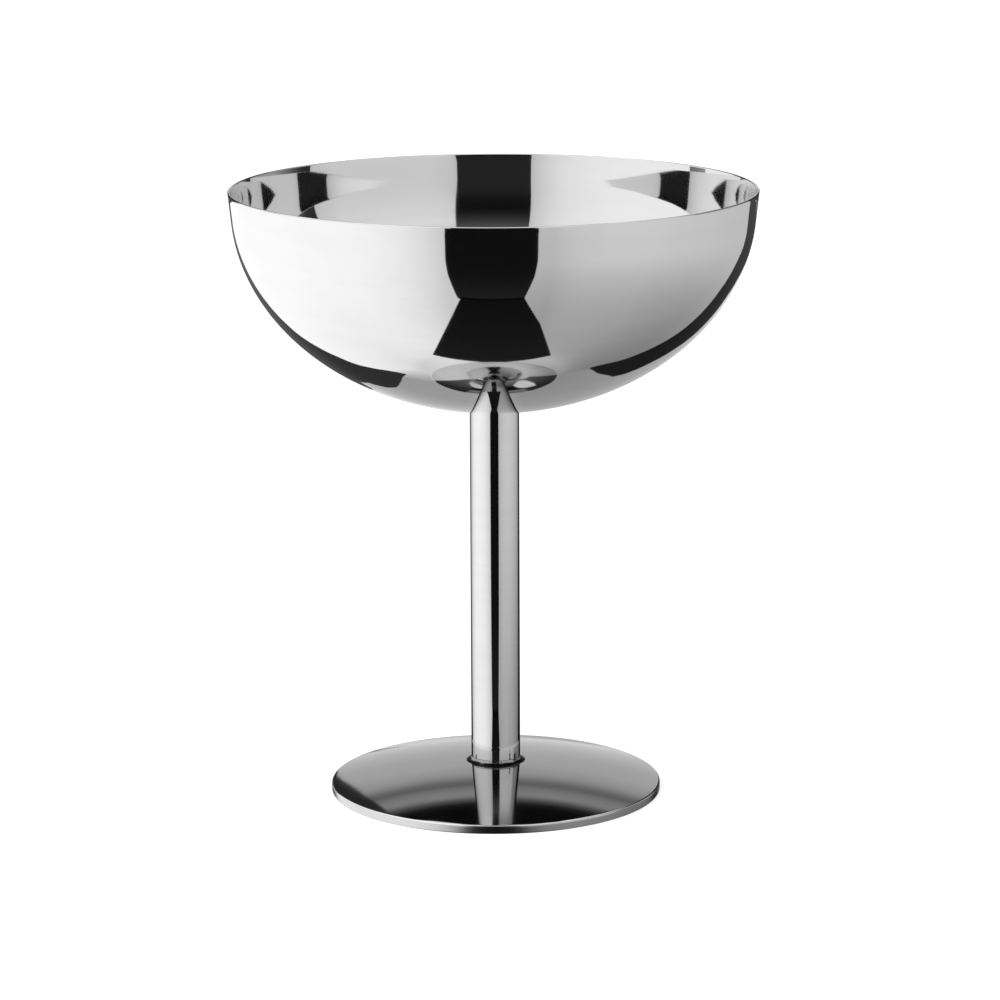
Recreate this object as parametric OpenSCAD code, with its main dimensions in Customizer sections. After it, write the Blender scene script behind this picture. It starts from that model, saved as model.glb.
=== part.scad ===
// Footed coupe of polished stainless steel: a spun bowl on a straight tube,
// which stands on a low pressed foot. The tube is joined to both by a ring of weld.
// Millimetres. The origin is the centre of the foot on the table, and +Z is up.

/* [Overall] */
// Height from the table to the top of the lip
height = 124; // [105:1:150]

/* [Bowl] */
// Diameter across the lip
bowl_d = 106; // [90:1:130]
// Outside depth of the bowl, from the top of the lip to its underside
bowl_depth = 44.6; // [36:0.1:54]
// Thickness of the bowl's sheet, which also rounds the lip
bowl_wall = 0.5; // [0.4:0.05:1]
// Degrees that the straight rim under the lip leans out
lip_lean = 6; // [4:0.5:10]
// How far the middle plane of the bowl's curve lies below the lip
curve_drop = 2.5; // [0:0.5:4]

/* [Stem] */
// Outside diameter of the tube
stem_d = 10; // [8:0.5:14]
// Wall of the tube
stem_wall = 1; // [0.8:0.1:2]

/* [Foot] */
// Diameter across the foot
foot_d = 67.4; // [56:0.1:90]
// Rise of the dome from the foot's edge to its centre
foot_rise = 4.3; // [2.5:0.1:8]
// Height of the foot's edge
foot_edge_h = 1.7; // [1.4:0.05:3]
// Round between the dome and the edge
foot_edge_round = 0.5; // [0.3:0.05:0.7]
// Round under the edge, where it meets the table
foot_base_round = 0.2; // [0.1:0.05:0.3]
// Thickness of the foot's sheet, which turns down at the edge
foot_sheet = 0.9; // [0.6:0.05:1]
// Width of the foot's flat seat that shows round the weld
foot_seat_rim = 0.25; // [0.1:0.05:1]

/* [Welds] */
// Leg of the weld between the tube and the foot
foot_weld_leg = 1.05; // [0.6:0.05:1.6]
// Leg of the weld between the tube and the bowl
bowl_weld_leg = 0.35; // [0.25:0.05:0.8]
// Radius of a weld's hollow face, as a share of its leg
weld_hollow = 1.4; // [1.2:0.1:3]

/* [Hidden] */
$fn = 180;

// Points round the large curves of the bowl and the dome
large_fn = 1440;

bowl_r = bowl_d / 2;
stem_r = stem_d / 2;
foot_r = foot_d / 2;

// Where two curves would only just touch, one stands out of the other by the lap,
// so that they cross cleanly
lap = 0.002;

// The bowl follows the lower part of an ellipsoid, whose middle plane is at bowl_z,
// and a straight leaning rim runs on from it to the round of the lip at lip_z
lip_r = bowl_wall / 2 + lap;
lip_x = bowl_r - lip_r;
lip_z = height - lip_r;
bowl_low = height - bowl_depth;
bowl_z = lip_z - curve_drop;
bowl_h = bowl_z - bowl_low;

// The outside of the bowl's sheet is side 1, and its inside is side -1.
// top_x and rim_x are the rim's radius at the lip and at the middle plane, and
// face_h is the ellipse's depth.
function top_x(side) = lip_x + side * bowl_wall / 2 / cos(lip_lean);
function rim_x(side) = top_x(side) - curve_drop * tan(lip_lean);
function face_h(side) = bowl_h - (side > 0 ? 0 : bowl_wall);

// Depth at which the ellipse has the rim's lean, and half of the ellipse's width
function rim_h(side) = pow(face_h(side), 2) * tan(lip_lean) / rim_x(side);
function face_r(side) = lap + rim_x(side) * sqrt(1 - pow(rim_h(side) / face_h(side), 2));

// The dome of the foot is a cap of a ball that passes through the top of the edge
dome_r = (foot_r * foot_r + foot_rise * foot_rise) / (2 * foot_rise);
dome_z = foot_edge_h + foot_rise - dome_r;

// The top of the dome is pressed flat, so that the tube stands square on it
seat_r = stem_r + foot_weld_leg + foot_seat_rim;
seat_z = dome_z + sqrt(dome_r * dome_r - seat_r * seat_r);

// Centre of the round between dome and edge, and where it meets the dome
round_x = foot_r - foot_edge_round;
round_reach = dome_r - foot_edge_round + lap;
round_z = dome_z + sqrt(round_reach * round_reach - round_x * round_x);
meet_x = round_x * dome_r / round_reach;

// Height of the bowl's underside at a distance from the axis
function bowl_at(x) = bowl_z - bowl_h * sqrt(1 - pow(x / face_r(1), 2));

// From the corner of a weld to the centre of its hollow face, along each leg
function hollow_at(leg) = leg / 2 + sqrt((pow(weld_hollow * leg, 2) - leg * leg / 2) / 2);

// Side of the block that a weld is cut from. It is longer than the leg, so that
// the face crosses its edges cleanly and takes the rest of it away.
block_share = 1.2;
function block(leg) = block_share * leg;

// Full section of the ellipsoid that a side of the bowl's sheet follows
module bowl_outline(side) {
    translate([0, bowl_z])
        scale([face_r(side), face_h(side)]) circle(r = 1, $fn = large_fn);
}

// All that a side of the bowl's sheet holds: the ellipse below its middle plane, and
// the cone of the rim, which starts where the ellipse has the same lean
module bowl_side(side) {
    intersection() {
        bowl_outline(side);
        translate([0, bowl_z - 2 * bowl_h]) square(2 * bowl_h);
    }
    low_x = rim_x(side) - rim_h(side) * tan(lip_lean);
    translate([0, bowl_z])
        polygon([[0, -rim_h(side)], [low_x, -rim_h(side)],
                 [top_x(side), curve_drop], [0, curve_drop]]);
}

// Full section of the ball that the foot's dome follows, moved in by a depth
module dome_outline(inward = 0) {
    translate([0, dome_z]) circle(r = dome_r - inward, $fn = large_fn);
}

// Quarter of a disc, out from the axis and up, or down for a side of -1
module quarter(radius, side) {
    intersection() {
        circle(r = radius);
        translate([0, side > 0 ? 0 : -radius]) square(radius);
    }
}

// Outside of the foot from the axis to its edge, with both rounds
module foot_outline() {
    base_x = foot_r - foot_base_round;
    intersection() {
        dome_outline();
        square([meet_x, seat_z]);
    }
    translate([round_x, round_z]) quarter(foot_edge_round, 1);
    translate([0, foot_base_round]) square([foot_r, round_z - foot_base_round]);
    translate([base_x, foot_base_round]) quarter(foot_base_round, -1);
    square([base_x, foot_base_round]);
}

// Hollow below the foot's sheet, open towards the table
module foot_hollow() {
    intersection() {
        dome_outline(foot_sheet);
        translate([0, -foot_sheet]) square([foot_r - foot_sheet, seat_z]);
    }
}

// Disc that hollows out a weld's face, from the corner that the legs start at
module weld_face(leg, corner_z, up) {
    translate([stem_r + hollow_at(leg), corner_z + up * hollow_at(leg)])
        circle(r = weld_hollow * leg);
}

module bowl() {
    color("silver")
        rotate_extrude() {
            difference() {
                bowl_side(1);
                bowl_side(-1);
            }
            translate([lip_x, lip_z]) circle(r = lip_r);
        }
}

// The tube's lower end is square, and its upper end is cut to the curve of the bowl
module stem() {
    uncut_z = bowl_low + bowl_h / 2;
    color("gainsboro")
        rotate_extrude()
            difference() {
                translate([stem_r - stem_wall, seat_z])
                    square([stem_wall, uncut_z - seat_z]);
                bowl_outline(1);
            }
}

module foot() {
    color("silver")
        rotate_extrude()
            difference() {
                foot_outline();
                foot_hollow();
            }
}

module foot_weld() {
    color("dimgray")
        rotate_extrude()
            difference() {
                translate([stem_r, seat_z]) square(block(foot_weld_leg));
                weld_face(foot_weld_leg, seat_z, 1);
            }
}

module bowl_weld() {
    toe_z = bowl_at(stem_r + bowl_weld_leg);
    color("dimgray")
        rotate_extrude()
            difference() {
                translate([stem_r, toe_z - block(bowl_weld_leg)])
                    square([block(bowl_weld_leg), 2 * block(bowl_weld_leg)]);
                bowl_outline(1);
                weld_face(bowl_weld_leg, toe_z, -1);
            }
}

bowl();
stem();
foot();
foot_weld();
bowl_weld();
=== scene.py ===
"""Looks of a footed coupe of polished stainless steel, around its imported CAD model.

Five pieces of revolution stand for the five CAD nodes: a spun bowl, a drawn tube, a pressed
foot and two rings of weld. The stage is a pale floor and the cards that the steel mirrors.
"""

import math

import bpy
import numpy as np
from bpy.props import FloatProperty, FloatVectorProperty, IntProperty, PointerProperty
from mathutils import Matrix, Vector


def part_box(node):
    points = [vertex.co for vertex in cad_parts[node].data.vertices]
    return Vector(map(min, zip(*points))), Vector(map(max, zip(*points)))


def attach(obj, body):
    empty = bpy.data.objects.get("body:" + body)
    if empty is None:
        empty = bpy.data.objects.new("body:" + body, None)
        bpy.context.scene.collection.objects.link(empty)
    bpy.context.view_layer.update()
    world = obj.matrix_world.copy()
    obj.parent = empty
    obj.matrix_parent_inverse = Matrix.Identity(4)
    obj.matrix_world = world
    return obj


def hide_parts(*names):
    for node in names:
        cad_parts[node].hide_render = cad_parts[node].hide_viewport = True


bl_info = {
    "name": "Steel Coupe",
    "version": (1, 0, 0),
    "blender": (4, 5, 0),
    "location": "View3D > Sidebar > Coupe",
    "description": "Footed coupe of polished stainless steel with its studio stage",
    "category": "Object",
}

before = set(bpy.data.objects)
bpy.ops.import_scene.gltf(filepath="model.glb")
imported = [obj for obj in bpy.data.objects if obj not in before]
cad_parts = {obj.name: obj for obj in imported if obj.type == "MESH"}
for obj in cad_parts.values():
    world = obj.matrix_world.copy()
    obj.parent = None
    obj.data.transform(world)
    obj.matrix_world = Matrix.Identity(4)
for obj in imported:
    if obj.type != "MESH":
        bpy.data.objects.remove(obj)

MM = 0.001

# Height of the middle of the cup, which the lamps face and the tent is centred on
MIDDLE = 0.06

# Share of the light that polished steel gives back, and the power that turns a grey of
# the picture into brightness
REFLECTANCE = 0.85
DISPLAY_POWER = 2.2

# Shares of the tent's radius at which its cards hang, so that one covers another
WALLS, FLAGS, GAPS = 0.985, 0.98, 0.975

# The cup mirrors itself and the cards many times over
BOUNCES = 16

# Corners of the CAD nodes' boxes
BOWL_LOW, BOWL_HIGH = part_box("bowl")
STEM_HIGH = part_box("stem")[1]
FOOT_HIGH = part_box("foot")[1]
WELD_LOW, WELD_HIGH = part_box("foot_weld")
NECK_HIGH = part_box("bowl_weld")[1]


def length(name, description, default):
    """A property that holds a length in metres."""
    return FloatProperty(name=name, description=description, default=default, min=0.0,
                         precision=5, unit="LENGTH")


def share(name, description, default):
    """A property that holds a share between none and all."""
    return FloatProperty(name=name, description=description, default=default, min=0.0,
                         max=1.0, precision=3, subtype="FACTOR")


def colour(name, description, default):
    """A property that holds a linear colour."""
    return FloatVectorProperty(name=name, description=description, default=default,
                               size=3, min=0.0, max=1.0, subtype="COLOR")


class CoupeShape(bpy.types.PropertyGroup):
    """Sizes of the coupe, in the frame of the CAD model."""
    lip_radius: length("Lip radius", "From the axis to the outside of the lip",
                       BOWL_HIGH.x)
    height: length("Height", "From the table to the top of the lip", BOWL_HIGH.z)
    underside: length("Underside", "From the table to the lowest point of the bowl",
                      BOWL_LOW.z)
    sheet: length("Bowl sheet", "Thickness of the bowl's sheet", 0.5 * MM)
    lean: FloatProperty(name="Lean", description="Lean of the straight rim at the lip",
                        default=math.radians(6.0), min=0.0, max=0.5, subtype="ANGLE")
    drop: length("Curve drop", "From the lip down to the middle plane of the curve",
                 2.5 * MM)
    tube_radius: length("Tube radius", "Outside radius of the tube", STEM_HIGH.x)
    tube_wall: length("Tube wall", "Wall of the tube", 1.0 * MM)
    foot_radius: length("Foot radius", "From the axis to the foot's edge", FOOT_HIGH.x)
    seat_height: length("Seat height", "Height of the flat seat of the foot", FOOT_HIGH.z)
    dome_rise: length("Dome rise", "Rise of the dome, without the flat seat", 4.3 * MM)
    edge_height: length("Edge height", "Height at which the dome would meet the edge",
                        1.7 * MM)
    edge_round: length("Edge round", "Round between the dome and the edge", 0.5 * MM)
    base_round: length("Base round", "Round under the edge of the foot", 0.2 * MM)
    foot_sheet: length("Foot sheet", "Thickness of the foot's sheet", 0.9 * MM)
    foot_weld: length("Foot weld", "Leg of the weld on the foot",
                      WELD_HIGH.x - STEM_HIGH.x)
    bowl_weld: length("Bowl weld", "Leg of the weld under the bowl",
                      NECK_HIGH.x - STEM_HIGH.x)
    hollow: FloatProperty(name="Weld hollow", default=1.4, min=0.8, max=4.0,
                          description="Radius of a weld's face, as a share of its leg")
    steps: IntProperty(name="Steps", description="Steps round the axis", default=720,
                       min=48, max=1440)


class CoupeFinish(bpy.types.PropertyGroup):
    """Colours and polish of the steel."""
    steel: colour("Steel", "Colour of the polished steel", (0.86, 0.86, 0.86))
    tube: colour("Tube steel", "Colour of the drawn tube", (0.81, 0.81, 0.81))
    dome: colour("Dome steel", "Colour of the foot's dome, inside its bright edge",
                 (0.50, 0.50, 0.50))
    side: colour("Foot side", "Colour of the foot's upright side", (0.74, 0.74, 0.74))
    # Painted shade: the foot's upright side is coloured darker towards +X
    side_shade: colour("Shaded side", "Colour of that side where it is lighted less, towards +X",
                 (0.48, 0.48, 0.48))
    # A black tint here paints shade in a dark rim along the tube's outline
    outline: colour("Tube outline", "Tint of the tube's gloss where it is seen edge on",
                    (0.0, 0.0, 0.0))
    seam: colour("Seam", "Colour of the tube's seam", (0.62, 0.62, 0.63))
    nick: colour("Nick", "Colour of the nick at the foot of the seam", (0.03, 0.03, 0.03))
    # Painted shade: the weld's toe is near black, and darker still in patches
    weld: colour("Weld", "Colour of the weld's toe", (0.06, 0.06, 0.06))
    toe_shade: colour("Weld soot", "Colour of the toe's darker places", (0.008, 0.008, 0.008))
    weld_face: colour("Weld face", "Colour of the weld where it is polished with the tube",
                      (0.38, 0.38, 0.38))
    gloss: share("Roughness", "Roughness of the polished bowl and tube", 0.04)
    foot_gloss: share("Foot roughness", "Roughness of the foot", 0.06)
    line_depth: share("Line depth", "Strength of the polishing lines", 0.25)
    seam_angle: FloatProperty(name="Seam angle", default=math.radians(-55.0),
                              description="Where the tube's seam runs, from +X",
                              subtype="ANGLE")


class CoupeStage(bpy.types.PropertyGroup):
    """Camera, floor and cards."""
    lens: FloatProperty(name="Lens", description="Focal length on a 36 mm sensor",
                        default=147.745, min=10.0, max=400.0, unit="CAMERA")
    distance: length("Distance", "From the axis to the camera, along the table", 0.81292)
    raised: length("Raised", "From the table to the camera", 0.23761)
    pitch: FloatProperty(name="Pitch", description="How far the camera looks down",
                         default=0.2147, subtype="ANGLE")
    yaw: FloatProperty(name="Yaw", description="How far the camera looks aside",
                       default=-0.0013, subtype="ANGLE")
    roll: FloatProperty(name="Roll", description="How far the camera is turned",
                        default=-0.0039, subtype="ANGLE")
    floor: colour("Floor", "Colour of the floor", (0.80, 0.80, 0.80))
    drop: length("Drop", "How far the cards on the table lie below the foot", 30.0 * MM)
    tent: length("Tent", "Radius of the cloth round the stage", 0.95)


# Shapes

def line(start, end, count, held=0.01 * MM):
    """Straight run of a profile from start to end, evenly spaced, with one more point
    just inside each end, so that a corner there stays crisp when it is shaded smooth."""
    start, end = np.array(start, float), np.array(end, float)
    reach = np.linalg.norm(end - start)
    inset = min(held / reach, 0.2)
    at = np.r_[0.0, inset, np.linspace(0.0, 1.0, count)[1:-1], 1.0 - inset, 1.0]
    return start + at[:, None] * (end - start)


def arc(centre, radius, begin, end, count):
    """Part of a circle: the centre plus the radius times (cos t, sin t), for evenly
    spaced angles t from begin to end."""
    t = np.linspace(begin, end, count)
    return np.array(centre) + radius * np.stack([np.cos(t), np.sin(t)], axis=1)


def chain(*runs):
    """Joins runs of a profile and leaves out points that repeat the one before."""
    points = np.concatenate(runs)
    step = np.linalg.norm(np.diff(points, axis=0), axis=1)
    return points[np.r_[True, step > 1e-8]]


def put_mesh(name, points, quads, triangles=()):
    """Makes a smooth mesh object from arrays of points, quads and triangles."""
    quads = np.asarray(quads, np.int32).reshape(-1, 4)
    triangles = np.asarray(triangles, np.int32).reshape(-1, 3)
    corners = np.concatenate([quads.ravel(), triangles.ravel()])
    sizes = np.r_[np.full(len(quads), 4), np.full(len(triangles), 3)].astype(np.int32)
    mesh = bpy.data.meshes.new(name)
    mesh.vertices.add(len(points))
    mesh.vertices.foreach_set("co", np.asarray(points, np.float32).ravel())
    mesh.loops.add(len(corners))
    mesh.loops.foreach_set("vertex_index", corners)
    mesh.polygons.add(len(sizes))
    mesh.polygons.foreach_set("loop_start", np.r_[0, np.cumsum(sizes)[:-1]].astype(np.int32))
    mesh.polygons.foreach_set("use_smooth", np.ones(len(sizes), bool))
    mesh.update(calc_edges=True)
    if mesh.validate():
        raise RuntimeError(f"the mesh of {name} had faults")
    piece = bpy.data.objects.new(name, mesh)
    bpy.context.scene.collection.objects.link(piece)
    return piece


def turned(name, profile, steps):
    """Surface of revolution between two poles. The point (r, z) of the profile goes to
    (r cos a, r sin a, z) for evenly spaced angles a. The first and last points of the
    profile lie on the axis, and each is one vertex with triangles round it."""
    a = np.linspace(0.0, 2.0 * np.pi, steps, endpoint=False)
    r, z = profile[1:-1].T
    rings = np.stack([np.outer(r, np.cos(a)), np.outer(r, np.sin(a)),
                      np.outer(z, np.ones(steps))], axis=-1).reshape(-1, 3)
    points = np.concatenate([rings, [[0, 0, profile[0, 1]], [0, 0, profile[-1, 1]]]])
    index = np.arange(len(r) * steps).reshape(len(r), steps)
    after = np.roll(index, -1, axis=1)
    quads = np.stack([index[:-1], after[:-1], after[1:], index[1:]], axis=-1)
    low = np.stack([np.full(steps, len(rings)), after[0], index[0]], axis=-1)
    high = np.stack([index[-1], after[-1], np.full(steps, len(rings) + 1)], axis=-1)
    return put_mesh(name, points, quads, np.concatenate([low, high]))


def ring(name, sections):
    """Closed ring swept round the axis. sections holds, for each angle a in turn and each
    place along the closed section, the pair (r, z), which goes to (r cos a, r sin a, z)."""
    steps, count = sections.shape[:2]
    a = np.linspace(0.0, 2.0 * np.pi, steps, endpoint=False)[:, None]
    r, z = sections[..., 0], sections[..., 1]
    points = np.stack([r * np.cos(a), r * np.sin(a), z], axis=-1).reshape(-1, 3)
    index = np.arange(steps * count).reshape(steps, count)
    after = np.roll(index, -1, axis=0)
    quads = np.stack([index, after, np.roll(after, -1, axis=1), np.roll(index, -1, axis=1)],
                     axis=-1)
    return put_mesh(name, points, quads)


def bowl_curve(shape, side):
    """Sizes of the outside (side 1) or the inside (side -1) of the bowl's sheet: the
    rim's radius and the ellipse's depth at its middle plane, how far below that plane the
    ellipse has the rim's lean, and half of the ellipse's width."""
    lip = shape.sheet / 2
    reach = lip / math.cos(shape.lean)
    rim = shape.lip_radius - lip + side * reach - shape.drop * math.tan(shape.lean)
    depth = shape.height - lip - shape.drop - shape.underside
    depth = depth if side > 0 else depth - shape.sheet
    straight = depth * depth * math.tan(shape.lean) / rim
    return rim, depth, straight, rim * math.sqrt(1.0 - (straight / depth) ** 2)


def bowl_side(shape, side, end, count):
    """One side of the bowl's sheet, from the axis up, with heights from the middle plane.
    Part of an ellipse (half_width sin t, -depth cos t) runs until it has the rim's lean,
    and a straight line with that lean goes on to the height end."""
    rim, depth, straight, half_width = bowl_curve(shape, side)
    t = np.linspace(0.0, math.acos(straight / depth), count)
    curve = np.stack([half_width * np.sin(t), -depth * np.cos(t)], axis=1)
    z = np.linspace(-straight, end, 6)[1:]
    return np.concatenate([curve, np.stack([rim + z * math.tan(shape.lean), z], axis=1)])


def underside_at(shape, r):
    """Height of the bowl's underside at a distance r from the axis."""
    depth, half_width = bowl_curve(shape, 1)[1::2]
    return shape.underside + depth * (1.0 - math.sqrt(1.0 - (r / half_width) ** 2))


def bowl_profile(shape):
    """Outside of the bowl from the axis up, half a circle over the lip, and the inside
    back down to the axis."""
    lip = shape.sheet / 2
    lip_x = shape.lip_radius - lip
    rise = lip * math.sin(shape.lean)
    outside = bowl_side(shape, 1, shape.drop - rise, count=56)
    inside = bowl_side(shape, -1, shape.drop + rise, count=48)
    over = arc((lip_x, shape.drop), lip, -shape.lean, math.pi - shape.lean, count=13)
    profile = chain(outside, over[1:-1], inside[::-1])
    return profile + [0.0, shape.height - lip - shape.drop]


def foot_profile(shape):
    """Underside of the foot from the axis out, the ring that it stands on, the edge with
    its rounds, and the dome back up to the flat seat and the axis. The dome is a ball of
    radius (R R + h h) / 2 h, where R is the foot's radius and h the dome's rise."""
    radius, rise = shape.foot_radius, shape.dome_rise
    ball = (radius * radius + rise * rise) / (2 * rise)
    low = shape.edge_height + rise - ball
    inner = radius - shape.foot_sheet
    within = ball - shape.foot_sheet
    ceiling = shape.seat_height - shape.foot_sheet
    ceiling_r = math.sqrt(within ** 2 - (ceiling - low) ** 2)
    brow = low + math.sqrt(within ** 2 - inner ** 2)
    round_x = radius - shape.edge_round
    reach = ball - shape.edge_round
    round_z = low + math.sqrt(reach ** 2 - round_x ** 2)
    turn = math.atan2(round_z - low, round_x)
    seat_r = math.sqrt(ball ** 2 - (shape.seat_height - low) ** 2)
    seat_turn = math.acos(seat_r / ball)
    base = shape.base_round
    return chain(
        line((0, ceiling), (ceiling_r, ceiling), 4),
        arc((0, low), within, math.acos(ceiling_r / within), math.acos(inner / within), 20),
        line((inner, brow), (inner, 0), 3),
        line((inner, 0), (radius - base, 0), 3),
        arc((radius - base, base), base, -math.pi / 2, 0, 7),
        line((radius, base), (radius, round_z), 4),
        arc((round_x, round_z), shape.edge_round, 0, turn, 12),
        arc((0, low), ball, turn, seat_turn, 60),
        line((seat_r, shape.seat_height), (0, shape.seat_height), 4))


def hollow_at(shape, leg):
    """From the corner of a weld to the centre of its hollow face, along each leg."""
    return leg / 2 + math.sqrt(((shape.hollow * leg) ** 2 - leg * leg / 2) / 2)


def weld_sections(corner, face, back, steps, ripple, sway):
    """Sections of an uneven weld round the axis. A section is the face and then the back,
    which lies on the two pieces that it joins. The face is moved from the corner by a
    share of its distance to it. That share is greatest in the middle of the face and is a
    sum of sines of the angle a: slow ones times sway, and 46 beads round times ripple."""
    a = np.linspace(0.0, 2.0 * np.pi, steps, endpoint=False)[:, None]
    t = np.linspace(0.0, 1.0, len(face))[None, :]
    swell = sway * (np.sin(3 * a + 0.7) + 0.6 * np.sin(7 * a + 2.1) + 0.5 * np.sin(13 * a))
    beads = ripple * np.sin(46 * a + 1.5 * np.sin(5 * a)) * np.sin(np.pi * t)
    share_moved = (swell * np.sin(np.pi * t) + beads)[..., None]
    faces = face[None] + share_moved * (face - corner)[None]
    backs = np.repeat(back[None], steps, axis=0)
    return np.concatenate([faces, backs], axis=1)


def weld_bead(name, shape, leg, corner, ends, centre, count, **uneven):
    """Ring of weld. Its hollow face is part of a circle about a centre, from one end to
    the other, and its back runs over the corner between the two pieces that it joins."""
    begin, end = [math.atan2(*(place - centre)[::-1]) % (2 * math.pi) for place in ends]
    face = arc(centre, shape.hollow * leg, begin, end, count)
    back = chain(line(ends[1], corner, 3), line(corner, ends[0], 3))[1:-1]
    return ring(name, weld_sections(corner, face, back, shape.steps // 2, **uneven))


def dress(piece, node, material):
    """Gives a piece its finish and its body, and hides the CAD node that it stands for."""
    piece.data.materials.append(material)
    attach(piece, "root")
    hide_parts(node)


# Materials

def put_node(tree, kind, inputs=(), **settings):
    """Adds a node to a tree. inputs pairs a socket's name or place with a value, or with
    the output that it is linked to."""
    node = tree.nodes.new(kind)
    for key, value in settings.items():
        setattr(node, key, value)
    for socket, value in dict(inputs).items():
        if isinstance(value, bpy.types.NodeSocket):
            tree.links.new(value, node.inputs[socket])
        else:
            node.inputs[socket].default_value = value
    return node


def sum_up(tree, operation, first, second=0.0, third=0.0):
    """Output of a Math node with up to three values."""
    node = put_node(tree, "ShaderNodeMath", {0: first, 1: second, 2: third},
                    operation=operation)
    return node.outputs[0]


def spread(tree, value, low, high, to_low=0.0, to_high=1.0):
    """Maps a value smoothly from low..high to to_low..to_high."""
    node = put_node(tree, "ShaderNodeMapRange",
                    {0: value, 1: low, 2: high, 3: to_low, 4: to_high},
                    interpolation_type="SMOOTHSTEP")
    return node.outputs[0]


def place_on(tree):
    """The object coordinates of a place on the surface, as one vector."""
    return put_node(tree, "ShaderNodeTexCoord").outputs["Object"]


def place_parts(tree):
    """The object coordinates x, y and z of a place on the surface."""
    return put_node(tree, "ShaderNodeSeparateXYZ", {0: place_on(tree)}).outputs


def from_axis(tree, x, y):
    """Distance from the axis: the root of x x + y y."""
    return sum_up(tree, "SQRT", sum_up(tree, "MULTIPLY_ADD", x, x,
                                       sum_up(tree, "MULTIPLY", y, y)))


def noise(tree, place, scale, detail, roughness=0.5):
    """Output of a noise that is read at a place."""
    node = put_node(tree, "ShaderNodeTexNoise",
                    {"Vector": place, "Scale": scale, "Detail": detail,
                     "Roughness": roughness})
    return node.outputs[0]


def group_of(name, inputs, outputs):
    """Starts a shader node group with named sockets, or finds the one already built."""
    found = bpy.data.node_groups.get(name)
    if found:
        return found, None, None
    tree = bpy.data.node_groups.new(name, "ShaderNodeTree")
    for label, kind, value in inputs:
        socket = tree.interface.new_socket(label, in_out="INPUT", socket_type=kind)
        socket.default_value = value
    for label, kind in outputs:
        tree.interface.new_socket(label, in_out="OUTPUT", socket_type=kind)
    return tree, tree.nodes.new("NodeGroupInput"), tree.nodes.new("NodeGroupOutput")


def polishing_lines():
    """Group: fine lines that run round the axis, as a lathe's polishing mop leaves them.
    Noise is read at (distance from the axis, height, a little of the place round the
    axis), so it hardly changes along a line."""
    tree, into, out = group_of(
        "polishing_lines",
        [("Lines per metre", "NodeSocketFloat", 3000.0), ("Break", "NodeSocketFloat", 30.0)],
        [("Height", "NodeSocketFloat"), ("Streak", "NodeSocketFloat")])
    if into is None:
        return tree
    x, y, z = place_parts(tree)
    fine = into.outputs["Lines per metre"]
    along = sum_up(tree, "MULTIPLY", sum_up(tree, "SUBTRACT", x, y), into.outputs["Break"])
    place = put_node(tree, "ShaderNodeCombineXYZ",
                     {0: sum_up(tree, "MULTIPLY", from_axis(tree, x, y), fine),
                      1: sum_up(tree, "MULTIPLY", z, fine), 2: along}).outputs[0]
    # A streak is as wide as about eight lines
    wide = put_node(tree, "ShaderNodeVectorMath", {0: place, 1: (0.13, 0.13, 1.0)},
                    operation="MULTIPLY").outputs[0]
    lines = noise(tree, place, scale=1.0, detail=2.0, roughness=0.6)
    streaks = noise(tree, wide, scale=1.0, detail=3.0, roughness=0.55)
    tree.links.new(lines, out.inputs["Height"])
    tree.links.new(streaks, out.inputs["Streak"])
    return tree


def polish_haze():
    """Group: faint clouds of duller polish, from one soft noise."""
    tree, into, out = group_of(
        "polish_haze",
        [("Clouds per metre", "NodeSocketFloat", 60.0), ("Low", "NodeSocketFloat", 0.05),
         ("High", "NodeSocketFloat", 0.09)],
        [("Roughness", "NodeSocketFloat"), ("Cloud", "NodeSocketFloat")])
    if into is None:
        return tree
    wide = noise(tree, place_on(tree), into.outputs["Clouds per metre"], detail=4.0,
                 roughness=0.6)
    cloud = spread(tree, wide, 0.35, 0.7)
    rough = put_node(tree, "ShaderNodeMapRange",
                     {0: cloud, 3: into.outputs["Low"], 4: into.outputs["High"]})
    tree.links.new(rough.outputs[0], out.inputs["Roughness"])
    tree.links.new(cloud, out.inputs["Cloud"])
    return tree


def mixed(tree, amount, first, second):
    """Colour between first and second by an amount that changes over the surface."""
    first, second = [tone if isinstance(tone, bpy.types.NodeSocket) else (*tone, 1.0)
                     for tone in (first, second)]
    node = put_node(tree, "ShaderNodeMix", {0: amount, 6: first, 7: second},
                    data_type="RGBA")
    return node.outputs[2]


def new_material(name):
    """Starts a material, and gives it with its node tree and its shader."""
    material = bpy.data.materials.new(name)
    material.use_nodes = True
    tree = material.node_tree
    return material, tree, tree.nodes["Principled BSDF"]


def join_metal(tree, shader, tone, rough, height, strength, distance):
    """Makes a shader metal, with its tone, its roughness and the height of its lines."""
    bump = put_node(tree, "ShaderNodeBump",
                    {"Height": height, "Strength": strength, "Distance": distance})
    shader.inputs["Metallic"].default_value = 1.0
    tree.links.new(tone, shader.inputs["Base Color"])
    tree.links.new(rough, shader.inputs["Roughness"])
    tree.links.new(bump.outputs[0], shader.inputs["Normal"])


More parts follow.
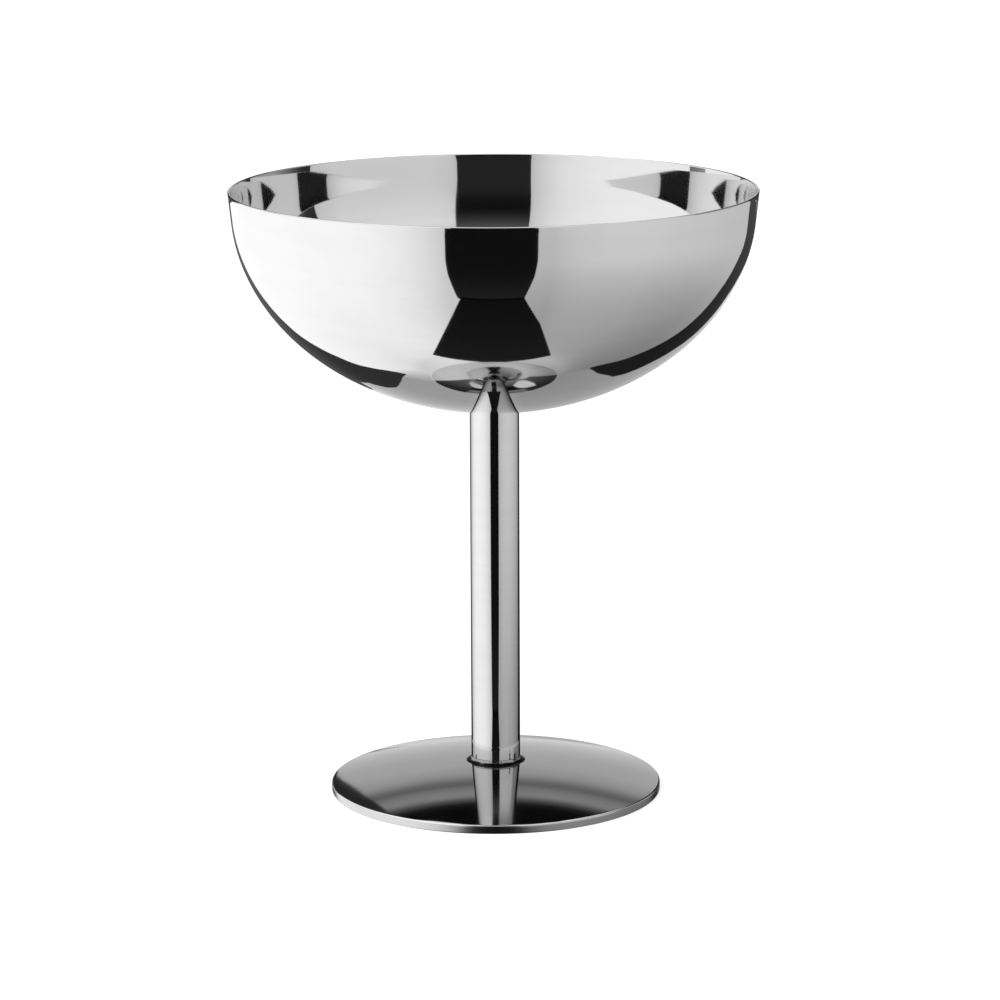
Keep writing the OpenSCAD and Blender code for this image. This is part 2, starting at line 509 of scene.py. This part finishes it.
def steel(name, finish, base, gloss, lines_per_metre, clouds, marks=None):
    """Polished stainless steel: a mirror with faint lines round the axis and clouds of
    duller polish. gloss is its usual roughness, and marks is a function that adds what
    only one piece has to the tone and the roughness."""
    material, tree, shader = new_material(name)
    lines = put_node(tree, "ShaderNodeGroup", {"Lines per metre": lines_per_metre},
                     node_tree=polishing_lines())
    haze = put_node(tree, "ShaderNodeGroup",
                    {"Clouds per metre": clouds, "Low": gloss * 0.8, "High": gloss * 1.3},
                    node_tree=polish_haze())
    dull, bright = [[c * level for c in base] for level in (0.97, 1.02)]
    streak = spread(tree, lines.outputs["Streak"], 0.35, 0.65, to_high=0.4)
    clear = sum_up(tree, "MULTIPLY_ADD", haze.outputs["Cloud"], -0.6, 0.6)
    tone = mixed(tree, sum_up(tree, "ADD", streak, clear), dull, bright)
    rough = haze.outputs["Roughness"]
    if marks:
        tone, rough = marks(tree, finish, tone, rough)
    join_metal(tree, shader, tone, rough, lines.outputs["Height"], finish.line_depth,
               distance=0.001 * MM)
    return material


def foot_edge_and_side_shade(tree, finish, tone, rough):
    """The foot's edge has the full tone of the bowl's steel, and its dome the darker dome
    tone. The upright side is rougher, and its colour darkens towards +X as painted shade."""
    x, y, _ = place_parts(tree)
    reach = from_axis(tree, x, y)
    edge = spread(tree, reach, FOOT_HIGH.x - 0.5 * MM, FOOT_HIGH.x - 0.35 * MM)
    side = spread(tree, reach, FOOT_HIGH.x - 0.1 * MM, FOOT_HIGH.x - 0.02 * MM)
    # Painted shade: the upright side darkens towards +X
    right = spread(tree, x, -16 * MM, -2 * MM)
    side_shade = mixed(tree, right, finish.side, finish.side_shade)
    tone = mixed(tree, side, mixed(tree, edge, tone, finish.steel), side_shade)
    return tone, sum_up(tree, "MULTIPLY_ADD", side, 0.16, rough)


def tube_marks(tree, finish, tone, rough):
    """Adds the tube's seam, which is a little rougher, and the nick at its foot."""
    mark, nick = seam_marks(tree, finish)
    tone = mixed(tree, nick, mixed(tree, mark, tone, finish.seam), finish.nick)
    return tone, sum_up(tree, "MULTIPLY_ADD", mark, 0.10, rough)


def seam_marks(tree, finish):
    """Masks of the tube's seam and of the nick at its foot. The seam is where the place is
    hardly aside of the seam's direction, and it fades out higher up the tube."""
    x, y, z = place_parts(tree)
    c, s = math.cos(finish.seam_angle), math.sin(finish.seam_angle)
    front = sum_up(tree, "MULTIPLY_ADD", x, c, sum_up(tree, "MULTIPLY", y, s))
    aside = sum_up(tree, "ABSOLUTE", sum_up(tree, "MULTIPLY_ADD", x, -s,
                                            sum_up(tree, "MULTIPLY", y, c)))
    facing = sum_up(tree, "GREATER_THAN", front, 0.0)
    narrow = sum_up(tree, "MULTIPLY", facing,
                    spread(tree, aside, 0.05 * MM, 0.30 * MM, to_low=1.0, to_high=0.0))
    fade = spread(tree, z, 12 * MM, 30 * MM, to_low=0.30, to_high=0.0)
    mark = sum_up(tree, "MULTIPLY", narrow, fade)
    grain = noise(tree, place_on(tree), scale=2500.0, detail=3.0)
    ragged = spread(tree, grain, 0.35, 0.6)
    foot = spread(tree, z, 7.6 * MM, 9.4 * MM, to_low=1.0, to_high=0.0)
    nick = sum_up(tree, "MULTIPLY", sum_up(tree, "MULTIPLY", narrow, foot), ragged)
    return mark, nick


def weld_metal(name, finish):
    """Ring of weld whose toe is painted near black as painted shade, under a hollow face that
    is polished with the tube.
    The height above the foot's seat tells one from the other, so all of the bowl's weld
    is polished."""
    material, tree, shader = new_material(name)
    lines = put_node(tree, "ShaderNodeGroup", {"Lines per metre": 6000.0, "Break": 400.0},
                     node_tree=polishing_lines())
    haze = put_node(tree, "ShaderNodeGroup",
                    {"Clouds per metre": 350.0, "Low": 0.22, "High": 0.42},
                    node_tree=polish_haze())
    streak = spread(tree, lines.outputs["Streak"], 0.4, 0.62)
    # Painted shade in the toe, darker in patches of noise
    shade_share = sum_up(tree, "MULTIPLY", streak, haze.outputs["Cloud"])
    tone = mixed(tree, shade_share, finish.toe_shade, finish.weld)
    wavy = sum_up(tree, "MULTIPLY_ADD", haze.outputs["Cloud"], 0.2 * MM,
                  place_parts(tree)[2])
    bright = spread(tree, wavy, WELD_LOW.z + 0.5 * MM, WELD_LOW.z + 0.65 * MM)
    tone = mixed(tree, bright, tone, finish.weld_face)
    rough = sum_up(tree, "MULTIPLY_ADD", bright, -0.12, haze.outputs["Roughness"])
    join_metal(tree, shader, tone, rough, lines.outputs["Height"], strength=0.6,
               distance=0.01 * MM)
    return material


def shared(name, make, *values):
    """Finds a material by its name, or makes it."""
    return bpy.data.materials.get(name) or make(name, *values)


# Stage

def reflected(grey):
    """Brightness of a card that polished steel shows as this grey of 0 to 255."""
    return (np.asarray(grey, float) / 255.0) ** DISPLAY_POWER / REFLECTANCE


def mirrored_only(card):
    """A card is seen in the steel and lights nothing, and the camera doesn't see it."""
    card.visible_camera = False
    card.visible_diffuse = False
    card.visible_shadow = False
    card.visible_transmission = False
    card.visible_volume_scatter = False


def card_material(name):
    """Even, shadowless cloth or board, as bright as the card's own glow says."""
    material, tree, shader = new_material(name)
    material.cycles.emission_sampling = "NONE"
    tree.nodes.remove(shader)
    glow = put_node(tree, "ShaderNodeAttribute", attribute_name="glow")
    light = put_node(tree, "ShaderNodeEmission", {"Strength": glow.outputs["Fac"]})
    out = tree.nodes["Material Output"]
    tree.links.new(light.outputs[0], out.inputs["Surface"])
    return material


def put_card(name, grid, glow):
    """Card from a grid of points, with its glow at each of them."""
    rows, columns = grid.shape[:2]
    index = np.arange(rows * columns).reshape(rows, columns)
    quads = np.stack([index[:-1, :-1], index[:-1, 1:], index[1:, 1:], index[1:, :-1]],
                     axis=-1)
    card = put_mesh(name, grid.reshape(-1, 3), quads)
    layer = card.data.attributes.new("glow", "FLOAT", "POINT")
    layer.data.foreach_set("value", np.asarray(glow, np.float32).ravel())
    card.data.materials.append(shared("studio_card", card_material))
    mirrored_only(card)


def near(value, start, reach):
    """One up to a start, and beyond it less by a factor of e for each reach."""
    return np.exp(-np.maximum(value - start, 0.0) / reach)


def ramp(value, low, high):
    """Rises evenly from none at low to one at high."""
    return np.clip((value - low) / (high - low), 0.0, 1.0)


def on_table(stage, x, y, lift=0.0):
    """Places on the table for x and y in millimetres."""
    return np.stack([x * MM, y * MM, np.full_like(x, lift - stage.drop)], axis=-1)


def on_tent(stage, az, el, inward=1.0):
    """Places on the ball of cloth, by azimuth and elevation in degrees. Azimuth 0 is
    towards the camera, +90 is the right side and 180 the back. inward is how far from the
    ball's centre the place lies, as a share of its radius."""
    turn, rise = np.radians(az), np.radians(el)
    reach = stage.tent * inward
    return np.stack([reach * np.cos(rise) * np.sin(turn),
                     -reach * np.cos(rise) * np.cos(turn),
                     MIDDLE + reach * np.sin(rise)], axis=-1)


def between(first, second, steps, across):
    """Grid of places between two edges of a card. Each edge is a line through places that
    pair with those of the other, with steps between one and the next."""
    first, second = np.array(first, float), np.array(second, float)
    marks = np.arange(len(first))
    at = np.linspace(0.0, marks[-1], marks[-1] * steps + 1)
    edges = [np.stack([np.interp(at, marks, edge[:, k]) for k in (0, 1)], axis=1)[:, None]
             for edge in (first, second)]
    u = np.linspace(0.0, 1.0, across)[None, :, None]
    grid = edges[0] * (1.0 - u) + edges[1] * u
    return grid[..., 0], grid[..., 1], at


def table_glow(az, reach):
    """Brightness of the cloth on the table. It dims towards the cup, which keeps the light
    from it, towards the slot in front, and along the strip between the two flags. az is
    in degrees, reach from the axis in millimetres, and the levels are greys."""
    left = 249.0 - 51.0 * near(-az, 20.0, 21.0)
    dim = 22.0 * near(reach, 70.0, 80.0) + 24.0 * near(reach, 50.0, 9.0)
    left = left - dim * np.clip((-az - 10.0) / 80.0, 0.2, 1.0)
    right = 200.0 - 18.0 * near(az, 25.0, 10.0) - 0.27 * np.maximum(az - 70.0, 0.0)
    dim = np.clip(30.0 + 0.3 * (az - 25.0), 0.0, 57.0) * np.exp(-(reach / 270.0) ** 2)
    right = right - 1.3 * dim + 22.0 * near(reach, 47.0, 9.0)
    bends = [60, 75, 107, 170, 300, 500, 850]
    begin = np.interp(reach, bends, [120, 126, 140, 148, 158, 163, 169])
    soft = np.interp(reach, [55, 80], [14, 3])
    behind = ramp((-az - begin) / soft, -1.0, 1.0)
    strip = np.interp(reach, [100, 300, 500], [148, 204, 215])
    left = left * (1.0 - behind) + strip * behind
    begin = np.interp(reach, bends, [113, 118, 131, 140, 146, 151, 158])
    behind = ramp(az - begin, -3.0, 3.0)
    right = right * (1.0 - behind) + np.minimum(126.0 + 0.15 * reach, 214.0) * behind
    part = ramp(reach * np.sin(np.radians(az)), -15.0, 15.0)
    return reflected(left * (1.0 - part) + right * part)


def table_cloth(stage):
    """Cloth on the table under and round the cup."""
    reach, az = np.meshgrid(np.geomspace(4.0, stage.tent / MM, 150),
                            np.linspace(-180.0, 180.0, 361), indexing="ij")
    turn = np.radians(az)
    put_card("table_cloth", on_table(stage, reach * np.sin(turn), -reach * np.cos(turn)),
             table_glow(az, reach))


def table_card(name, stage, first, second, levels):
    """Card flat on the table cloth, between two edges of (x, y) in millimetres, with the
    grey that it shows at each pair of their places."""
    x, y, at = between(first, second, steps=12, across=9)
    grey = np.interp(at, np.arange(len(levels)), levels)
    glow = np.repeat(reflected(grey)[:, None], x.shape[1], axis=1)
    put_card(name, on_table(stage, x, y, lift=0.2 * MM), glow)


def table_flags(stage):
    """The dark cards on the table: in front a strip from the cup to the tent's slot, in
    three parts, and behind the cup one card on each side that widens away from it."""
    table_card("front_strip", stage,
               [(-47, -30), (-47, -100), (-47, -172)],
               [(43, -30), (47, -100), (43, -172)], [32, 25, 22])
    table_card("front_hem", stage,
               [(-49, -172), (-53, -178)], [(43, -172), (44, -178)], [14, 16])
    table_card("front_run", stage,
               [(-53, -178), (-98, -280), (-150, -412), (-200, -550), (-332, -912)],
               [(44, -178), (82, -266), (130, -395), (181, -542), (300, -901)],
               [34, 24, 22, 22, 22])
    table_card("rear_left", stage,
               [(-57, 36), (-63, 40), (-70, 49), (-81, 69), (-88, 84), (-104, 111),
                (-120, 148), (-139, 201), (-154, 234), (-182, 311), (-210, 404),
                (-245, 548), (-309, 898)],
               [(-56, 36), (-57, 49), (-56, 64), (-55, 92), (-55, 109), (-59, 140),
                (-68, 177), (-69, 235), (-59, 274), (-54, 356), (-57, 451),
                (-63, 597), (-66, 948)],
               [47, 47, 47, 47, 48, 50, 54, 65, 70, 80, 85, 90, 86])
    table_card("rear_right", stage,
               [(64, 28), (69, 31), (76, 38), (91, 57), (101, 68), (116, 88),
                (142, 126), (176, 170), (222, 230), (291, 350), (340, 458),
                (408, 568), (554, 771)],
               [(63, 30), (64, 39), (65, 55), (69, 82), (70, 100), (77, 123),
                (96, 164), (113, 217), (130, 292), (173, 421), (181, 541),
                (168, 679), (99, 945)],
               [32, 32, 32, 32, 32, 32, 35, 40, 46, 56, 58, 62, 66])


def tent_card(name, stage, first, second, inward, levels, by_height=True):
    """Card on the tent, between two edges of (azimuth, elevation), hung a little inside it.
    levels pairs the elevation, or else the azimuth, with the grey that it shows there."""
    az, el, _ = between(first, second, steps=16, across=25)
    at, grey = zip(*levels)
    glow = reflected(np.interp(el if by_height else az, at, grey))
    put_card(name, on_tent(stage, az, el, inward), glow)


def tent_glow(az, el):
    """Brightness of the tent's walls and roof. The left wall is bright, the right wall is
    greyer with a dim band under the roof, and the wall behind the flags is dim. az and el
    are in degrees, and the levels are greys."""
    left = 231.0 - 48.0 * near(-az, 18.0, 13.0) + 20.0 * ramp(el, 36.0, 46.0)
    right = np.interp(el, [4, 22, 34, 38, 43, 52, 60, 68],
                      [194, 205, 213, 205, 160, 180, 215, 235])
    right = right - 14.0 * near(az, 18.0, 4.0) - 12.0 * ramp(az, 78.0, 92.0)
    aside = np.interp(el, [8, 20, 43, 52, 60, 68], [144, 150, 165, 185, 215, 235])
    far = ramp(az, 92.0, 93.0)
    right = right * (1.0 - far) + aside * far
    behind = ramp(np.abs(az), 137.0, 141.0)
    rear = np.interp(el, [36, 50, 56, 66, 72], [55, 70, 115, 140, 235])
    wall = np.where(az < 0.0, left, right) * (1.0 - behind) + rear * behind
    roof = ramp(el, 62.0, 72.0)
    return reflected(wall * (1.0 - roof) + 240.0 * roof)


def tent(stage):
    """The white tent round the stage. It has a dark slot for the camera, a lit back wall
    between two dark flags, two bright gaps over the flags, and a dark end of each side
    wall."""
    az, el = np.meshgrid(np.linspace(-180.0, 180.0, 361), np.linspace(-8.0, 90.0, 197))
    put_card("tent_walls", on_tent(stage, az, el), tent_glow(az, el))
    tent_card("tent_slot", stage,
              [(-17.2, -8), (-17.5, 8), (-19, 38), (-29, 50), (-29, 56)],
              [(16.8, -8), (16.9, 8), (20.2, 38), (17, 50), (17, 56)], WALLS,
              [(-8, 30), (8, 38), (14, 36), (20, 25), (26, 23), (30, 36), (34, 52),
               (38.7, 76), (42, 40), (44, 30), (56, 30)])
    tent_card("back_wall", stage, [(197, -8), (197, 20), (197, 48)],
              [(170, -8), (163, 20), (161, 48)], WALLS,
              [(-8, 226), (-2, 206), (4, 196), (10, 187), (17, 186), (22, 169), (24, 146),
               (26, 110), (27.5, 108), (29, 140), (32, 155), (33.3, 130), (34.5, 70), (36, 32),
               (38, 22), (48, 24)])
    tent_card("left_flag", stage,
              [(-170, -8), (-169.3, 5), (-167.9, 12), (-166.4, 24), (-165.9, 34), (-163, 46),
               (-157, 54), (-149, 61)],
              [(-156, -8), (-151, 3), (-145, 13), (-140, 27), (-138.5, 36), (-138, 45),
               (-138.5, 54), (-139, 61)], FLAGS,
              [(-8, 84), (0, 60), (10, 45), (30, 50), (44, 84), (61, 115)])
    tent_card("right_flag", stage,
              [(143, -8), (139, 6), (129, 20), (124, 34), (125, 60)],
              [(169, -8), (166, 8), (161, 20), (150, 35), (141, 60)], FLAGS,
              [(-8, 66), (4, 50), (32, 52), (44, 72), (60, 108)])
    tent_card("left_gap", stage,
              [(-173, 46), (-170, 42), (-166, 43), (-160, 48), (-150, 58)],
              [(-173, 50), (-170, 51), (-166, 54), (-160, 57), (-150, 61)], GAPS,
              [(39, 225), (50, 250), (61, 190)])
    tent_card("right_gap", stage,
              [(163, 40), (160, 36), (152, 36), (147, 44), (142, 56)],
              [(163, 50), (160, 53), (152, 59), (147, 61), (142, 61)], GAPS,
              [(35, 220), (42, 255), (56, 250), (61, 190)])
    tent_card("right_end", stage, [(92.5, 2), (92.5, 18.5)], [(118, 2), (118, 18.5)], WALLS,
              [(92, 44), (98, 48), (106, 95), (118, 144)], by_height=False)
    tent_card("left_end", stage, [(-101, 3.5), (-101, 9.5)], [(-112, 3.5), (-112, 9.5)],
              WALLS, [(-112, 140), (-101, 100)], by_height=False)


def floor_material(stage):
    """Pale, matt floor. What the camera sees of it is lifted to the white of the
    background, most of all far from the lamps, and the shadow of the cup stays on it."""
    material, tree, shader = new_material("pale_floor")
    shader.inputs["Roughness"].default_value = 0.9
    grain = noise(tree, place_on(tree), scale=60.0, detail=4.0)
    tone = mixed(tree, grain, [c * 0.99 for c in stage.floor], stage.floor)
    tree.links.new(tone, shader.inputs["Base Color"])
    path = put_node(tree, "ShaderNodeLightPath")
    lift = put_node(tree, "ShaderNodeEmission", {"Color": (1, 1, 1, 1)})
    x, y, _ = place_parts(tree)
    white = spread(tree, from_axis(tree, x, y), 0.3, 1.5, to_low=0.55, to_high=0.80)
    tree.links.new(sum_up(tree, "MULTIPLY", path.outputs["Is Camera Ray"], white),
                   lift.inputs["Strength"])
    both = put_node(tree, "ShaderNodeAddShader", {0: shader.outputs[0], 1: lift.outputs[0]})
    tree.links.new(both.outputs[0], tree.nodes["Material Output"].inputs["Surface"])
    return material


def put_floor(stage):
    """Wide floor at the height of the table. The steel mirrors the cards instead of it."""
    reach = 6.0
    corners = [(-reach, -reach, 0), (reach, -reach, 0), (reach, reach, 0), (-reach, reach, 0)]
    floor = put_mesh("floor", np.array(corners), [[0, 1, 2, 3]])
    floor.data.materials.append(floor_material(stage))
    floor.visible_glossy = False


def lamp(name, size, power, place):
    """Soft square lamp of a size in metres and a power in watts, at a place, turned to
    the middle of the cup."""
    data = bpy.data.lights.new(name, "AREA")
    data.size = size
    data.energy = power
    light = bpy.data.objects.new(name, data)
    bpy.context.scene.collection.objects.link(light)
    towards = Vector((0.0, 0.0, MIDDLE)) - Vector(place)
    light.location = place
    light.rotation_euler = towards.to_track_quat("-Z", "Y").to_euler()
    light.visible_glossy = False


def studio_world():
    """White behind all, for the camera and in the steel, and a softer light elsewhere."""
    world = bpy.data.worlds.new("studio")
    bpy.context.scene.world = world
    world.use_nodes = True
    tree = world.node_tree
    back = tree.nodes["Background"]
    back.inputs["Color"].default_value = (1.0, 1.0, 1.0, 1.0)
    path = put_node(tree, "ShaderNodeLightPath")
    seen = sum_up(tree, "MAXIMUM", path.outputs["Is Camera Ray"],
                  sum_up(tree, "MAXIMUM", path.outputs["Is Glossy Ray"],
                         path.outputs["Is Transmission Ray"]))
    softer = 0.4
    strength = sum_up(tree, "MULTIPLY_ADD", seen, 1.0 - softer, softer)
    tree.links.new(strength, back.inputs["Strength"])


def put_camera(stage):
    """Camera in front of the cup, which looks along +Y and slightly down."""
    data = bpy.data.cameras.new("camera")
    data.sensor_width = 36.0
    data.lens = stage.lens
    data.clip_start = 0.01
    camera = bpy.data.objects.new("camera", data)
    bpy.context.scene.collection.objects.link(camera)
    turn = (Matrix.Rotation(stage.yaw, 4, "Z")
            @ Matrix.Rotation(math.pi / 2 - stage.pitch, 4, "X")
            @ Matrix.Rotation(stage.roll, 4, "Z"))
    camera.matrix_world = Matrix.Translation((0.0, -stage.distance, stage.raised)) @ turn
    bpy.context.scene.camera = camera


# Operators

class COUPE_OT_bowl(bpy.types.Operator):
    """Spins the bowl with its rounded lip"""
    bl_idname = "coupe.bowl"
    bl_label = "Bowl"

    def execute(self, context):
        shape, finish = context.scene.coupe_shape, context.scene.coupe_finish
        bowl = turned("spun_bowl", bowl_profile(shape), shape.steps)
        dress(bowl, "bowl",
              steel("bowl_steel", finish, finish.steel, finish.gloss,
                    lines_per_metre=2600.0, clouds=45.0))
        return {"FINISHED"}


class COUPE_OT_stem(bpy.types.Operator):
    """Draws the tube, with its upper end cut to the curve of the bowl"""
    bl_idname = "coupe.stem"
    bl_label = "Stem"

    def execute(self, context):
        shape, finish = context.scene.coupe_shape, context.scene.coupe_finish
        outer, inner = shape.tube_radius, shape.tube_radius - shape.tube_wall
        low = shape.seat_height
        over_outer, over_inner = underside_at(shape, outer), underside_at(shape, inner)
        section = chain(line((outer, low), (outer, over_outer), 30),
                        line((outer, over_outer), (inner, over_inner), 3),
                        line((inner, over_inner), (inner, low), 4),
                        line((inner, low), (outer, low), 3))[:-1]
        steps = shape.steps // 2
        tube = ring("drawn_tube", np.repeat(section[None], steps, axis=0))
        metal = steel("stem_steel", finish, finish.tube, finish.gloss,
                      lines_per_metre=3400.0, clouds=80.0, marks=tube_marks)
        # On metal this socket tints what is seen at a flat angle, just inside the outline; set
        # black, it is painted shade, a dark rim along the tube's outline
        shader = metal.node_tree.nodes["Principled BSDF"]
        shader.inputs["Specular Tint"].default_value = (*finish.outline, 1.0)
        dress(tube, "stem", metal)
        return {"FINISHED"}


class COUPE_OT_foot(bpy.types.Operator):
    """Presses the foot from sheet, with its dome, edge and hollow underside"""
    bl_idname = "coupe.foot"
    bl_label = "Foot"

    def execute(self, context):
        shape, finish = context.scene.coupe_shape, context.scene.coupe_finish
        foot = turned("pressed_foot", foot_profile(shape), shape.steps)
        dress(foot, "foot",
              steel("foot_steel", finish, finish.dome, finish.foot_gloss,
                    lines_per_metre=2800.0, clouds=70.0, marks=foot_edge_and_side_shade))
        return {"FINISHED"}


class COUPE_OT_foot_weld(bpy.types.Operator):
    """Lays the ring of weld between the tube and the foot"""
    bl_idname = "coupe.foot_weld"
    bl_label = "Foot weld"

    def execute(self, context):
        shape, finish = context.scene.coupe_shape, context.scene.coupe_finish
        corner = np.array([shape.tube_radius, shape.seat_height])
        leg = shape.foot_weld
        top, toe = corner + [0.0, leg], corner + [leg, 0.0]
        weld = weld_bead("foot_weld_bead", shape, leg, corner, (toe, top),
                         corner + hollow_at(shape, leg), count=14, ripple=0.03, sway=0.05)
        dress(weld, "foot_weld", shared("shaded_toe_weld", weld_metal, finish))
        return {"FINISHED"}


class COUPE_OT_bowl_weld(bpy.types.Operator):
    """Lays the thin ring of weld between the tube and the bowl"""
    bl_idname = "coupe.bowl_weld"
    bl_label = "Bowl weld"

    def execute(self, context):
        shape, finish = context.scene.coupe_shape, context.scene.coupe_finish
        leg, radius = shape.bowl_weld, shape.tube_radius
        corner, toe = [np.array([r, underside_at(shape, r)]) for r in (radius, radius + leg)]
        bottom = np.array([radius, toe[1] - leg])
        reach = hollow_at(shape, leg)
        weld = weld_bead("bowl_weld_bead", shape, leg, corner, (bottom, toe),
                         np.array([radius + reach, toe[1] - reach]), count=12,
                         ripple=0.02, sway=0.03)
        dress(weld, "bowl_weld", shared("shaded_toe_weld", weld_metal, finish))
        return {"FINISHED"}


class COUPE_OT_stage(bpy.types.Operator):
    """Sets up the floor, the cards, the lamps and the camera"""
    bl_idname = "coupe.stage"
    bl_label = "Stage"

    def execute(self, context):
        stage = context.scene.coupe_stage
        put_floor(stage)
        table_cloth(stage)
        table_flags(stage)
        tent(stage)
        lamp("key_lamp", size=0.9, power=9.0, place=(-0.7, -0.4, 1.1))
        lamp("fill_lamp", size=1.2, power=5.0, place=(0.9, -0.2, 1.0))
        studio_world()
        context.scene.view_settings.view_transform = "Standard"
        put_camera(stage)
        context.scene.cycles.max_bounces = BOUNCES
        context.scene.cycles.glossy_bounces = BOUNCES
        return {"FINISHED"}


class COUPE_PT_parts(bpy.types.Panel):
    """Pieces of the coupe, their sizes and finishes"""
    bl_idname = "COUPE_PT_parts"
    bl_label = "Steel Coupe"
    bl_space_type = "VIEW_3D"
    bl_region_type = "UI"
    bl_category = "Coupe"

    def draw(self, context):
        column = self.layout.column()
        for operator in PIECES:
            column.operator(operator.bl_idname)
        for group in (context.scene.coupe_shape, context.scene.coupe_finish,
                      context.scene.coupe_stage):
            for key in type(group).__annotations__:
                column.prop(group, key)


PIECES = (COUPE_OT_bowl, COUPE_OT_stem, COUPE_OT_foot, COUPE_OT_foot_weld,
          COUPE_OT_bowl_weld, COUPE_OT_stage)
CLASSES = (CoupeShape, CoupeFinish, CoupeStage, *PIECES, COUPE_PT_parts)


def register():
    """Adds the classes and the three groups of properties to Blender."""
    for cls in CLASSES:
        bpy.utils.register_class(cls)
    bpy.types.Scene.coupe_shape = PointerProperty(type=CoupeShape)
    bpy.types.Scene.coupe_finish = PointerProperty(type=CoupeFinish)
    bpy.types.Scene.coupe_stage = PointerProperty(type=CoupeStage)


def unregister():
    """Takes away all that register added."""
    del bpy.types.Scene.coupe_stage
    del bpy.types.Scene.coupe_finish
    del bpy.types.Scene.coupe_shape
    for cls in reversed(CLASSES):
        bpy.utils.unregister_class(cls)


def main():
    """Builds the pieces and the stage."""
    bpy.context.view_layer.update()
    register()
    bpy.ops.coupe.bowl()
    bpy.ops.coupe.stem()
    bpy.ops.coupe.foot()
    bpy.ops.coupe.foot_weld()
    bpy.ops.coupe.bowl_weld()
    bpy.ops.coupe.stage()


if __name__ == "__main__":
    main()
